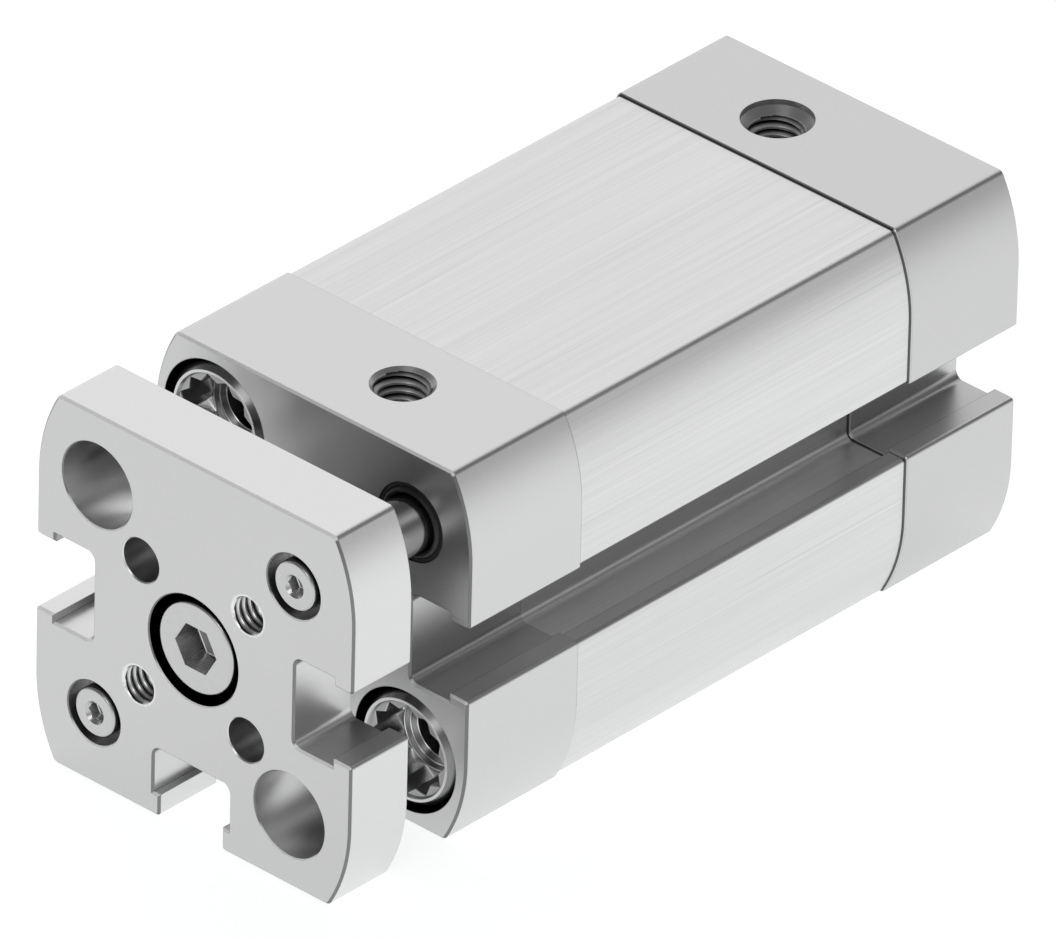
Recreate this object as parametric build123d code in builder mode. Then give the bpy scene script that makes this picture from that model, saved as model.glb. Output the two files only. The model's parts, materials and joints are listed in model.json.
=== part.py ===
"""Guided compact pneumatic cylinder: 20 mm piston, 30 mm stroke, square housing with a yoke plate.

Lengths along the cylinder are counted from the front face of the yoke plate towards the rear,
with the piston drawn in. The solids stand on their flat bottom: +X right across the plate,
+Y to the rear, +Z up, and the origin lies under the middle of the whole cylinder.
"""

from build123d import *
from math import asin, cos, degrees, pi, sin, sqrt
import os

# Bore and stroke
bore_d = 20.0
stroke = 30.0
rod_d = 10.0
guide_rod_d = 5.0

# Housing section
pitch_over_bore = 2.0  # square pitch of the corner screws, beyond the bore's diameter
counterbore_wall = 1.1  # metal outside the counterbore of a collar screw
side_arc_r = 16.0  # arc that carries the top over into the side
flat_inset = 2.25  # from the side to where the flat on top ends
bend_r = 0.6  # small bend where the flat meets that arc
rim_chamfer = 0.2
barrel_inset = 0.2  # the barrel's skin lies this far inside the caps'
bore_lead_in = 0.3

# Sensor slots, on the left, the right and the bottom
slot_wall = 1.3  # metal between the bore and the floor of a slot
slot_mouth = 7.0
slot_cavity = 8.5
slot_lip = 2.1
slot_floor_r = 0.8
slot_edge_r = 0.4

# Lengths along the cylinder
plate_l = 7.0
yoke_gap = 6.9  # open gap between the plate and the bearing cap
cap_l = 13.5
spigot_lip = 0.5  # end wall of the spigot that stands in the bore, behind the ring seal
spigot_wall = 1.5
stop_gap = 0.1  # left between piston and spigot at each end of the stroke

# Collar screws: hollow, with a many-pointed socket and a female thread
collar_shank_d = 8.0
collar_head_d = 10.4
collar_head_l = 5.0
collar_head_chamfer = 0.45
collar_rim_wall = 0.3  # flat face between that chamfer and the mouth of the socket
collar_socket_lead_in = 0.25
collar_tooth = 0.65  # height of the socket's teeth
collar_socket_points = 12
collar_socket_l = 4.1
collar_thread_d = 5.0
collar_thread_lead_in = 0.36
collar_tip_chamfer = 0.3
counterbore_gap = 0.45  # round the head of a collar screw
collar_hole_gap = 0.2  # round its shank in the cap
thread_gap = 0.03  # between a male thread and its hole
collar_tip_gap = 2.9  # from the drawn-in guide rod to the tip of the rear collar screw

# Air ports in the top
port_d = 5.0
port_l = 6.0
port_offset = 3.25  # sideways from the middle, to the right in front and to the left behind
port_setback = 7.2  # from the outer face of its cap
front_port_chamfer = 0.3
rear_port_mouth_d = 6.3
rear_port_mouth_l = 0.5
passage_d = 1.6

# Rod seal, bush and guide bushes
rod_gap = 0.04  # running gap round the piston rod
rod_seal_l = 4.4
rod_seal_wall = 3.0
rod_seal_dust_lip = 0.66  # length of the cone that leads to the lip in front
rod_seal_lip = 0.66  # length of that lip on the rod
rod_seal_flank = 0.44  # cone behind it, into the groove
rod_seal_groove = 0.88
rod_seal_land = 1.1  # length that runs on the rod at the back
rod_bush_wall = 1.5
seat_gap = 0.02  # round a bush, ring or seal in its seat
guide_gap = 0.03  # running gap round a guide rod
guide_bush_wall = 1.07
guide_wiper_l = 2.6
guide_wiper_mouth_gap = 0.23
guide_wiper_face = 0.05  # its face lies this far inside the cap's face
guide_tail = 1.1  # guide rod left behind the bush at full stroke

# Piston
piston_gap = 0.15
ring_gap = 0.05  # running gap of the wear ring and the seals in the bore
land_l = 0.4
piston_seal_l = 1.5
piston_seal_depth = 1.65
piston_seal_foot = 0.41  # thickness of the seal on the groove's floor and of its lip
magnet_l = 2.2
wear_ring_wall = 1.1
hub_d = 13.0
nose_l = 2.5
nose_gap = 0.75  # between a piston nose and the pocket it dips into
nose_chamfer = 0.5
groove_gap = 0.03  # sideways, between a ring and its groove
bumper_l = 1.2
bumper_gap = 0.05
bumper_wall = 2.6
ring_seal_d = 0.88
ring_seal_gap = 0.045  # inside and outside the ring seal
ring_seal_side_gap = 0.06

# Rod end behind the piston
stud_d = 6.0
nut_flats = 10.0
nut_l = 3.0
nut_chamfer_slope = 0.577  # of the cone that breaks the corners of the nut
nut_room = 0.4

# Yoke plate and its screws
access_hole_d = 7.8
yoke_circle_d = 17.0  # circle of the threaded holes and of the dowel holes
yoke_thread_d = 4.0
dowel_d = 4.0
rod_seat_l = 0.8  # the rod's end sits this deep in the plate
guide_seat_l = 1.7  # and a guide rod's end this deep
yoke_screw_d = 5.0
yoke_screw_head_d = 8.4
yoke_screw_head_l = 3.5
yoke_screw_hex = 4.0
yoke_screw_hex_l = 2.6
yoke_screw_mouth_d = 4.3  # cone that breaks the edges of the hexagon
yoke_screw_sink = 0.3
yoke_screw_grip = 10.0
yoke_counterbore_gap = 0.8
guide_screw_d = 2.5
guide_screw_head_d = 4.5
guide_screw_head_l = 2.5
guide_screw_hex = 1.5
guide_screw_hex_l = 1.2
guide_screw_mouth_d = 2.14
guide_screw_sink = 0.05
guide_screw_grip = 5.0
guide_counterbore_gap = 0.7
screw_hole_gap = 0.1
screw_head_round = 0.3
screw_tip_chamfer = 0.4
drill_slope = 0.577  # rise of the cone that a drill leaves on the floor of its hole
hole_chamfer = 0.1  # on the holes in the plate's front face
thread_run_out = 1.0  # threaded hole left under the tip of a screw
rod_end_chamfer = 0.3

tiny = 0.01  # corners and edges this near a place count as lying on it

# Worked-out radii
bore_r = bore_d / 2
rod_r = rod_d / 2
guide_r = guide_rod_d / 2
channel_r = collar_shank_d / 2 + thread_gap
counterbore_r = collar_head_d / 2 + counterbore_gap
pocket_r = bore_r - spigot_wall
nose_r = pocket_r - nose_gap
spigot_r = bore_r - seat_gap
ring_floor_r = bore_r - ring_seal_d - 2 * ring_seal_gap
magnet_r = bore_r - ring_gap - wear_ring_wall - ring_gap
guide_seat_r = guide_r + guide_bush_wall
rod_bush_r = rod_r + rod_bush_wall
rod_seal_r = rod_r + rod_seal_wall
slot_floor = bore_r + slot_wall

# Worked-out widths
corner_pitch = bore_d + pitch_over_bore
corner = corner_pitch / 2
half_width = corner + counterbore_r + counterbore_wall
width = 2 * half_width
arc_x = half_width - side_arc_r
arc_z = half_width - sqrt(side_arc_r**2 - (side_arc_r - flat_inset) ** 2)
yoke_hole = yoke_circle_d / 2 / sqrt(2)

# Worked-out places along the cylinder
piston_l = 4 * land_l + 2 * piston_seal_l + magnet_l
spigot_l = ring_seal_d + 2 * ring_seal_side_gap + spigot_lip
end_room = spigot_l + stop_gap
barrel_l = stroke + piston_l + 2 * end_room
cap_y = plate_l + yoke_gap
barrel_y = cap_y + cap_l
end_y = barrel_y + barrel_l
overall = end_y + cap_l
pocket_l = nose_l - end_room + bumper_gap + bumper_l  # pocket depth below a cap's mating face
piston_y = end_y - end_room - piston_l
piston_mid = piston_y + piston_l / 2
rod_y = plate_l - rod_seat_l
guide_y = plate_l - guide_seat_l
guide_end = barrel_y + stroke + guide_tail
collar_screw_l = cap_l + end_y - guide_end - collar_tip_gap

screw_corners = [(-corner, corner), (corner, -corner)]
guide_corners = [(corner, corner), (-corner, -corner)]


def across(distance):
    """Plane square to the cylinder, facing the front, so far behind the plate's face."""
    return Plane(origin=(0, distance - overall / 2, half_width), x_dir=(1, 0, 0), z_dir=(0, -1, 0))


def along(x=0, z=0):
    """Plane on a line parallel to the cylinder's axis: x runs to the rear, y away from the line."""
    return Plane(origin=(x, -overall / 2, half_width + z), x_dir=(0, 1, 0), z_dir=(1, 0, 0))


def turn(outline, x=0, z=0, mode=Mode.ADD):
    """Revolve a closed outline of (distance, radius) about the line at x, z."""
    line = along(x, z)
    with BuildSketch(line) as profile:
        with BuildLine():
            Polyline(*outline, close=True)
        make_face()
    revolve(profile.sketch, axis=Axis(line.origin, line.x_dir), mode=mode)


def ring(start, length, inner_r, outer_r):
    """Outline of a plain ring or sleeve."""
    return [
        (start, inner_r),
        (start + length, inner_r),
        (start + length, outer_r),
        (start, outer_r),
    ]


def slot_section(inset):
    """Section of a sensor slot that opens to +X: a wide cavity behind two lips."""
    floor = slot_floor - inset
    lip = half_width - slot_lip + inset
    cavity = slot_cavity / 2 + inset
    mouth = slot_mouth / 2 + inset
    with BuildSketch() as slot:
        with BuildLine():
            Polyline((floor, 0), (floor, cavity), (lip, cavity), (lip, mouth), (half_width, mouth),
                     (half_width, 0))
            mirror(about=Plane.XZ)
        make_face()
        floor_corners = slot.vertices().filter_by(lambda v: v.X < floor + tiny and abs(v.Y) > mouth)
        fillet(floor_corners, slot_floor_r)
    return slot.sketch


def body_section(inset=0):
    """Section of housing and plate: flats and side arcs, with the three sensor slots."""
    half = half_width - inset
    arc_r = side_arc_r - inset
    rise = half - arc_z
    with BuildSketch() as body:
        with BuildLine():
            Line((0, half), (arc_x + sqrt(arc_r**2 - rise**2), half))
            CenterArc((arc_x, arc_z), arc_r, 0, degrees(asin(rise / arc_r)))
            Line((half, arc_z), (half, 0))
            mirror(about=Plane.YZ)
            mirror(about=Plane.XZ)
        make_face()
        bends = body.vertices().filter_by(lambda v: abs(v.Y) > half - bend_r and abs(v.X) > slot_cavity)
        fillet(bends, bend_r)
        with PolarLocations(0, 3, start_angle=180, angular_range=180, endpoint=True):
            add(slot_section(inset), mode=Mode.SUBTRACT)
        mouth = slot_mouth / 2 + inset
        on_skin = body.vertices().filter_by(lambda v: abs(max(abs(v.X), abs(v.Y)) - half) < tiny)
        mouth_edges = on_skin.filter_by(lambda v: abs(min(abs(v.X), abs(v.Y)) - mouth) < tiny)
        fillet(mouth_edges, slot_edge_r)
    return body.sketch


def chamfer_rims():
    """Break the outline's edges on both end faces of a plain block."""
    ends = edges().group_by(Axis.Y)
    chamfer(ends[0] + ends[-1], rim_chamfer)


def cap_insides(face, sense, port_x, mouth_r, mouth_l):
    """What both caps share: spigot, pocket for the piston's nose, ring seal groove, port and passage."""

    def at(depth):
        return face + sense * depth

    turn([(at(cap_l - slot_wall), 0), (at(cap_l + spigot_l), 0), (at(cap_l + spigot_l), spigot_r),
          (at(cap_l - slot_wall), spigot_r)])
    turn([(at(cap_l), ring_floor_r), (at(cap_l + spigot_l - spigot_lip), ring_floor_r),
          (at(cap_l + spigot_l - spigot_lip), bore_r), (at(cap_l), bore_r)], mode=Mode.SUBTRACT)
    turn([(at(cap_l - pocket_l), 0), (at(cap_l + spigot_l), 0), (at(cap_l + spigot_l), pocket_r),
          (at(cap_l - pocket_l), pocket_r)], mode=Mode.SUBTRACT)

    port_y = at(port_setback) - overall / 2
    with Locations((port_x, port_y, width - mouth_l)):
        CounterSinkHole(port_d / 2, mouth_r, depth=port_l - mouth_l, counter_sink_angle=90)
    if mouth_l > 0:
        with Locations((port_x, port_y, width)):
            Hole(mouth_r, depth=mouth_l)

    passage_r = passage_d / 2
    pocket_side = sqrt(pocket_r**2 - port_x**2)
    foot = Vector(port_x, port_y, width - port_l)
    head = Vector(port_x, at(cap_l - passage_r) - overall / 2, half_width + pocket_side - passage_r / 2)
    run = head - foot
    with BuildSketch(Plane(origin=foot - run.normalized() * passage_d, z_dir=run)) as passage:
        Circle(passage_r)
    extrude(passage.sketch, amount=run.length + passage_d, mode=Mode.SUBTRACT)


def collar_seat(face, sense, x, z):
    """Counterbored hole for a collar screw, sunk from a cap's outer face."""
    hole_r = collar_shank_d / 2 + collar_hole_gap
    seat = face + sense * collar_head_l
    end = face + sense * cap_l
    turn([(face, 0), (face, counterbore_r), (seat, counterbore_r), (seat, hole_r), (end, hole_r), (end, 0)],
         x, z, Mode.SUBTRACT)


def collar_screw(face, sense, x, z):
    """One hollow collar screw with its head flush in the cap's outer face."""

    def at(depth):
        return face + sense * depth

    head_r = collar_head_d / 2
    shank_r = collar_shank_d / 2
    thread_r = collar_thread_d / 2
    rim_r = head_r - collar_head_chamfer - collar_rim_wall
    socket_r = rim_r - collar_socket_lead_in
    root_r = socket_r - collar_tooth
    cone_r = thread_r + collar_thread_lead_in
    turn([
        (at(0), rim_r),
        (at(0), head_r - collar_head_chamfer),
        (at(collar_head_chamfer), head_r),
        (at(collar_head_l), head_r),
        (at(collar_head_l), shank_r),
        (at(collar_screw_l - thread_gap - collar_tip_chamfer), shank_r),
        (at(collar_screw_l - thread_gap), shank_r - collar_tip_chamfer),
        (at(collar_screw_l - thread_gap), thread_r),
        (at(collar_socket_l + collar_thread_lead_in), thread_r),
        (at(collar_socket_l), cone_r),
        (at(collar_socket_l), root_r),
        (at(collar_socket_lead_in), root_r),
        (at(collar_socket_lead_in), socket_r),
    ], x, z)
    step = pi / collar_socket_points
    star = [
        ((socket_r if i % 2 else root_r) * cos(i * step), (socket_r if i % 2 else root_r) * sin(i * step))
        for i in range(2 * collar_socket_points)
    ]
    with BuildSketch(across(face)) as socket:
        with Locations((x, z)):
            Polygon(*star, align=None)
    extrude(socket.sketch, amount=-sense * collar_socket_l, mode=Mode.SUBTRACT)


def socket_screw(start, sizes, x=0, z=0):
    """One socket screw, its head facing the front.

    The sizes are thread, head, head length, hexagon, its depth, its mouth and length of the shank.
    """
    thread_d, head_d, head_l, hex_w, hex_l, mouth_d, length = sizes
    head_r = head_d / 2
    thread_r = thread_d / 2
    hex_r = hex_w / 2
    mouth_r = mouth_d / 2
    tip = start + head_l + length
    turn([
        (start, 0),
        (start, head_r),
        (start + head_l, head_r),
        (start + head_l, thread_r),
        (tip - screw_tip_chamfer, thread_r),
        (tip, thread_r - screw_tip_chamfer),
        (tip, 0),
    ], x, z)
    rims = edges().filter_by(GeomType.CIRCLE).filter_by(lambda e: abs(e.radius - head_r) < tiny)
    fillet(rims.group_by(Axis.Y)[0], screw_head_round)
    with BuildSketch(across(start)) as socket:
        with Locations((x, z)):
            RegularPolygon(hex_r, 6, major_radius=False)
    extrude(socket.sketch, amount=-hex_l, mode=Mode.SUBTRACT)
    turn([(start, 0), (start, mouth_r), (start + mouth_r, 0)], x, z, Mode.SUBTRACT)
    floor = start + hex_l
    turn([(floor, 0), (floor, hex_r), (floor + hex_r * drill_slope, 0)], x, z, Mode.SUBTRACT)


def save(piece, name):
    piece.part.label = name
    export_step(piece.part, f"parts/{name}.step")


os.makedirs("parts", exist_ok=True)

# Barrel: extruded section with the bore, corner channels and sensor slots
with BuildPart() as barrel:
    with BuildSketch(across(barrel_y)):
        add(body_section(barrel_inset))
        Circle(bore_r, mode=Mode.SUBTRACT)
        with GridLocations(corner_pitch, corner_pitch, 2, 2):
            Circle(channel_r, mode=Mode.SUBTRACT)
    extrude(amount=-barrel_l)
    bore_rims = edges().filter_by(GeomType.CIRCLE).filter_by(lambda e: abs(e.radius - bore_r) < tiny)
    chamfer(bore_rims, bore_lead_in)
save(barrel, "barrel")

# Bearing cap: carries the rod's bush and seal and the guide bushes
with BuildPart() as bearing_cap:
    with BuildSketch(across(cap_y)):
        add(body_section())
    extrude(amount=-cap_l)
    chamfer_rims()
    cap_insides(cap_y, 1, port_offset, port_d / 2 + front_port_chamfer, 0)
    turn(ring(cap_y, rod_seal_l, 0, rod_seal_r + seat_gap), mode=Mode.SUBTRACT)
    turn(ring(cap_y, cap_l, 0, rod_bush_r + seat_gap), mode=Mode.SUBTRACT)
    for x, z in screw_corners:
        collar_seat(cap_y, 1, x, z)
    for x, z in guide_corners:
        turn(ring(cap_y, cap_l, 0, guide_seat_r + seat_gap), x, z, Mode.SUBTRACT)
save(bearing_cap, "bearing_cap")

# End cap: closed, with four collar screws
with BuildPart() as end_cap:
    with BuildSketch(across(end_y)):
        add(body_section())
    extrude(amount=-cap_l)
    chamfer_rims()
    cap_insides(overall, -1, -port_offset, rear_port_mouth_d / 2, rear_port_mouth_l)
    for x, z in screw_corners + guide_corners:
        collar_seat(overall, -1, x, z)
save(end_cap, "end_cap")

# Ring seals on the two spigots
ring_seal_r = (ring_floor_r + bore_r) / 2
ring_seal_room = (spigot_l - spigot_lip) / 2
ring_seal_places = (("bearing_cap_seal", barrel_y + ring_seal_room), ("end_cap_seal", end_y - ring_seal_room))
for name, middle in ring_seal_places:
    with BuildPart() as ring_seal:
        with BuildSketch(along()) as cord:
            with Locations((middle, ring_seal_r)):
                Circle(ring_seal_d / 2)
        revolve(cord.sketch, axis=Axis(along().origin, along().x_dir))
    save(ring_seal, name)

# Bush and lip seal that the piston rod runs in
with BuildPart() as rod_bush:
    bush_y = cap_y + rod_seal_l + seat_gap
    turn(ring(bush_y, barrel_y - pocket_l - seat_gap - bush_y, rod_r + rod_gap, rod_bush_r))
save(rod_bush, "rod_bush")

with BuildPart() as rod_seal:
    lip = rod_r + rod_gap
    relief = rod_r + rod_seal_wall / 2
    face = cap_y + guide_wiper_face
    groove_y = face + rod_seal_dust_lip + rod_seal_lip + rod_seal_flank
    turn([
        (face, relief),
        (face + rod_seal_dust_lip, lip),
        (face + rod_seal_dust_lip + rod_seal_lip, lip),
        (groove_y, relief),
        (groove_y + rod_seal_groove, relief),
        (cap_y + rod_seal_l - rod_seal_land, lip),
        (cap_y + rod_seal_l, lip),
        (cap_y + rod_seal_l, rod_seal_r),
        (face, rod_seal_r),
    ])
save(rod_seal, "rod_seal")

# Guide bushes with the wipers in front of them
with BuildPart() as guide_bushes:
    bush_y = cap_y + guide_wiper_face + guide_wiper_l + seat_gap
    for x, z in guide_corners:
        turn(ring(bush_y, barrel_y - seat_gap - bush_y, guide_r + guide_gap, guide_seat_r), x, z)
save(guide_bushes, "guide_bushes")

with BuildPart() as guide_wipers:
    face = cap_y + guide_wiper_face
    for x, z in guide_corners:
        turn([
            (face, guide_r + guide_wiper_mouth_gap),
            (face + guide_wiper_l / 2, guide_r + guide_gap),
            (face + guide_wiper_l, guide_r + guide_gap),
            (face + guide_wiper_l, guide_seat_r),
            (face, guide_seat_r),
        ], x, z)
save(guide_wipers, "guide_wipers")

# Collar screws of both caps
with BuildPart() as front_collar_screws:
    for x, z in screw_corners:
        collar_screw(cap_y, 1, x, z)
save(front_collar_screws, "front_collar_screws")

with BuildPart() as rear_collar_screws:
    for x, z in screw_corners + guide_corners:
        collar_screw(overall, -1, x, z)
save(rear_collar_screws, "rear_collar_screws")

# Elastic stop rings on the floors of the two pockets
bumper_r = pocket_r - bumper_gap
for name, start in (("front_bumper", barrel_y - pocket_l), ("rear_bumper", end_y + pocket_l - bumper_l)):
    with BuildPart() as bumper:
        turn(ring(start, bumper_l, bumper_r - bumper_wall, bumper_r))
    save(bumper, name)

# Piston halves, front and rear, with a seal groove each and half of the magnet's seat
body_r = bore_r - piston_gap
groove_r = body_r - piston_seal_depth
hub_r = hub_d / 2
stud_r = stud_d / 2
for name, sense in (("piston_front", -1), ("piston_rear", 1)):
    with BuildPart() as piston_half:
        steps = [
            (0, stud_r + ring_gap),
            (0, hub_r),
            (magnet_l / 2, hub_r),
            (magnet_l / 2, body_r),
            (magnet_l / 2 + land_l, body_r),
            (magnet_l / 2 + land_l, groove_r),
            (magnet_l / 2 + land_l + piston_seal_l, groove_r),
            (magnet_l / 2 + land_l + piston_seal_l, body_r),
            (piston_l / 2, body_r),
            (piston_l / 2, nose_r),
            (piston_l / 2 + nose_l - nose_chamfer, nose_r),
            (piston_l / 2 + nose_l, nose_r - nose_chamfer),
            (piston_l / 2 + nose_l, stud_r + ring_gap),
        ]
        turn([(piston_mid + sense * depth, radius) for depth, radius in steps])
        if name == "piston_rear":
            nut_recess_r = nut_flats / sqrt(3) + nut_room
            nut_y = piston_mid + piston_l / 2 + nose_l - nut_l - nut_room / 2
            turn(ring(nut_y, nut_l + nut_room, 0, nut_recess_r), mode=Mode.SUBTRACT)
    save(piston_half, name)

with BuildPart() as piston_magnet:
    turn(ring(piston_mid - magnet_l / 2 + groove_gap, magnet_l - 2 * groove_gap, hub_r + ring_gap, magnet_r))
save(piston_magnet, "piston_magnet")

with BuildPart() as piston_wear_ring:
    ring_y = piston_mid - magnet_l / 2 + groove_gap
    turn(ring(ring_y, magnet_l - 2 * groove_gap, magnet_r + ring_gap, bore_r - ring_gap))
save(piston_wear_ring, "piston_wear_ring")

# Piston seals: a body in the groove and a lip that leans towards its chamber
for name, sense in (("front_piston_seal", -1), ("rear_piston_seal", 1)):
    with BuildPart() as piston_seal:
        inner_r = groove_r + ring_gap
        near = magnet_l / 2 + land_l + groove_gap
        far = magnet_l / 2 + land_l + piston_seal_l - groove_gap
        lip_r = bore_r - ring_gap
        steps = [
            (near, inner_r),
            (far, inner_r),
            (far, inner_r + piston_seal_foot),
            ((near + far) / 2, (inner_r + lip_r) / 2),
            (far, lip_r - piston_seal_foot),
            (far, lip_r),
            (near, body_r),
        ]
        turn([(piston_mid + sense * depth, radius) for depth, radius in steps])
    save(piston_seal, name)

# Piston rod: threaded in front for the yoke screw, stepped down behind for the piston
nose_y = piston_mid - piston_l / 2 - nose_l
stud_end = nut_y + nut_l + nut_room / 4
yoke_web = plate_l - rod_seat_l - yoke_screw_sink - yoke_screw_head_l
with BuildPart() as piston_rod:
    yoke_thread_r = yoke_screw_d / 2 + thread_gap
    thread_end = rod_y + yoke_screw_grip + thread_run_out
    turn([
        (rod_y, yoke_thread_r),
        (rod_y, rod_r - rod_end_chamfer),
        (rod_y + rod_end_chamfer, rod_r),
        (nose_y, rod_r),
        (nose_y, stud_r),
        (stud_end, stud_r),
        (stud_end, 0),
        (thread_end, 0),
        (thread_end, yoke_thread_r),
    ])
save(piston_rod, "piston_rod")

with BuildPart() as piston_nut:
    with BuildSketch(across(nut_y)):
        RegularPolygon(nut_flats / 2, 6, major_radius=False)
        Circle(stud_r + thread_gap, mode=Mode.SUBTRACT)
    extrude(amount=-nut_l)
    flat_r = nut_flats / 2
    corner_r = nut_flats / sqrt(3)
    bevel_l = (corner_r - flat_r) * nut_chamfer_slope
    turn([
        (nut_y, 0),
        (nut_y, flat_r),
        (nut_y + bevel_l, corner_r),
        (nut_y + nut_l - bevel_l, corner_r),
        (nut_y + nut_l, flat_r),
        (nut_y + nut_l, 0),
    ], mode=Mode.INTERSECT)
save(piston_nut, "piston_nut")

# Guide rods, one in the upper right and one in the lower left corner
for name, (x, z) in (("upper_guide_rod", guide_corners[0]), ("lower_guide_rod", guide_corners[1])):
    with BuildPart() as guide_rod:
        guide_thread_r = guide_screw_d / 2 + thread_gap
        thread_end = guide_y + guide_screw_grip + thread_run_out
        turn([
            (guide_y, guide_thread_r),
            (guide_y, guide_r - rod_end_chamfer),
            (guide_y + rod_end_chamfer, guide_r),
            (guide_end - rod_end_chamfer, guide_r),
            (guide_end, guide_r - rod_end_chamfer),
            (guide_end, 0),
            (thread_end, 0),
            (thread_end, guide_thread_r),
        ], x, z)
    save(guide_rod, name)

# Yoke plate with its counterbores, threaded holes, dowel holes and access holes
guide_web = plate_l - guide_seat_l - guide_screw_sink - guide_screw_head_l
with BuildPart() as yoke_plate:
    with BuildSketch(across(0)):
        add(body_section())
    extrude(amount=-plate_l)
    chamfer_rims()
    with BuildSketch(across(0)) as plain_holes:
        with Locations(*screw_corners):
            Circle(access_hole_d / 2)
        with Locations((-yoke_hole, yoke_hole), (yoke_hole, -yoke_hole)):
            Circle(dowel_d / 2)
    extrude(plain_holes.sketch, amount=-plate_l, mode=Mode.SUBTRACT)
    counter_r = yoke_screw_head_d / 2 + yoke_counterbore_gap
    turn(ring(0, yoke_screw_sink + yoke_screw_head_l, 0, counter_r), mode=Mode.SUBTRACT)
    turn(ring(0, plate_l, 0, yoke_screw_d / 2 + screw_hole_gap), mode=Mode.SUBTRACT)
    turn(ring(rod_y, rod_seat_l, 0, rod_r + seat_gap), mode=Mode.SUBTRACT)
    for x, z in guide_corners:
        counter_r = guide_screw_head_d / 2 + guide_counterbore_gap
        turn(ring(0, guide_screw_sink + guide_screw_head_l, 0, counter_r), x, z, Mode.SUBTRACT)
        turn(ring(0, plate_l, 0, guide_screw_d / 2 + screw_hole_gap), x, z, Mode.SUBTRACT)
        turn(ring(guide_y, guide_seat_l, 0, guide_r + seat_gap), x, z, Mode.SUBTRACT)
    chamfer(faces().sort_by(Axis.Y)[0].edges().filter_by(lambda e: e.is_closed), hole_chamfer)
    with BuildSketch(across(0)) as tapped_holes:
        with Locations((yoke_hole, yoke_hole), (-yoke_hole, -yoke_hole)):
            Circle(yoke_thread_d / 2)
    extrude(tapped_holes.sketch, amount=-plate_l, mode=Mode.SUBTRACT)
save(yoke_plate, "yoke_plate")

with BuildPart() as yoke_screw:
    yoke_sizes = (yoke_screw_d, yoke_screw_head_d, yoke_screw_head_l, yoke_screw_hex,
                  yoke_screw_hex_l, yoke_screw_mouth_d, yoke_web + yoke_screw_grip)
    socket_screw(yoke_screw_sink, yoke_sizes)
save(yoke_screw, "yoke_screw")

with BuildPart() as guide_rod_screws:
    guide_screw = (guide_screw_d, guide_screw_head_d, guide_screw_head_l, guide_screw_hex,
                   guide_screw_hex_l, guide_screw_mouth_d, guide_web + guide_screw_grip)
    for x, z in guide_corners:
        socket_screw(guide_screw_sink, guide_screw, x, z)
save(guide_rod_screws, "guide_rod_screws")
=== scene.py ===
"""Looks of the guided compact cylinder: its camera, light, finishes, threads, screws and wipers.

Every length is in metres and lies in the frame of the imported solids: +X right across the plate,
+Y to the rear, +Z up. Places come from the solids and from the record's mounts.
"""

import json
from math import cos, pi, radians, sin

import bmesh
import bpy
import numpy as np
from mathutils import Matrix, Vector


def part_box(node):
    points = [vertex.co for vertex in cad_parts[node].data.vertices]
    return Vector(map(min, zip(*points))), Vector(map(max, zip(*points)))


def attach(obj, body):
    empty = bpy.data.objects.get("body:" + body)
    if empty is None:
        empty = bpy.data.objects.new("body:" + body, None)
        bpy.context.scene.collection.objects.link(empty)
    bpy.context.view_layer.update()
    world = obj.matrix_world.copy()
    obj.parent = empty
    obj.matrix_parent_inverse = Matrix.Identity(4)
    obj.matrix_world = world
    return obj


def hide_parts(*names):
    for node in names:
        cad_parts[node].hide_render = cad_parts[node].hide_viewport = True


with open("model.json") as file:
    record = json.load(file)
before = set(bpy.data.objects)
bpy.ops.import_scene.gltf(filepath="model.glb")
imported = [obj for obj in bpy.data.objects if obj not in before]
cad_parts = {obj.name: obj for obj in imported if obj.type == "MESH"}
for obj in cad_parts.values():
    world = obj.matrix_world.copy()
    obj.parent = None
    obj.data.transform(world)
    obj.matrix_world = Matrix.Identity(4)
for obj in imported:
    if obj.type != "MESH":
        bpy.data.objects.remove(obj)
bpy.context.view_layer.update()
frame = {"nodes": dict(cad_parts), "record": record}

mm = 0.001


def middle(node_name, axis):
    low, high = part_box(node_name)
    return (low[axis] + high[axis]) / 2


# Places taken from the solids and the mounts
mounts = {m["name"]: m for m in frame["record"]["mounts"]}
front_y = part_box("yoke_plate")[0].y
cap_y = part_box("bearing_cap")[0].y
rear_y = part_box("end_cap")[1].y
barrel_front_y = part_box("barrel")[0].y
barrel_rear_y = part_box("barrel")[1].y
axis_z = middle("yoke_plate", 2)
corner = mounts["front_thread_lower"]["pos_m"][0]
guide_x = middle("upper_guide_rod", 0)
yoke_hole_x = mounts["yoke_thread_upper"]["pos_m"][0]

# Holes of the plate, and the part of the sensor slots that gets painted shade
dowel_r = 2.0 * mm
access_r = 3.9 * mm
tapped_mouth_r = 1.75 * mm
tapped_cone_l = 0.14 * mm  # the plain part of a tapped hole's lead-in cone
# painted shade: the walls of the counterbores in the caps are painted dark from this depth on
counterbore_edge = 0.05 * mm  # the counterbores in the caps are dark from this depth on
slot_shade_start = 11.3 * mm  # from the axis
slot_shade_end = 17.4 * mm
slot_shade_half = 4.3 * mm
wall_margin = 0.02 * mm  # the tone of a face or wall reaches this far from it

# Tones, as greys or as shares of the tone beside them. The darker tones of the plate's front, the caps' end
# faces, the recesses and the holes and slots are painted shade
plate_tone = 0.72
plate_front_shade_tone = 0.575
cap_tone = 0.65
end_cap_tone = 0.6
cap_face_shade_tone = 0.57
barrel_tone = 0.71
recess_painted_shade = 0.01
dowel_shade_share = 0.75
access_shade_share = 0.95
slot_shade_share = 0.78
front_joint = (0.05 * mm, 0.4)  # half the line's width, and its tone
rear_joint = (0.11 * mm, 0.12)

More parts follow.
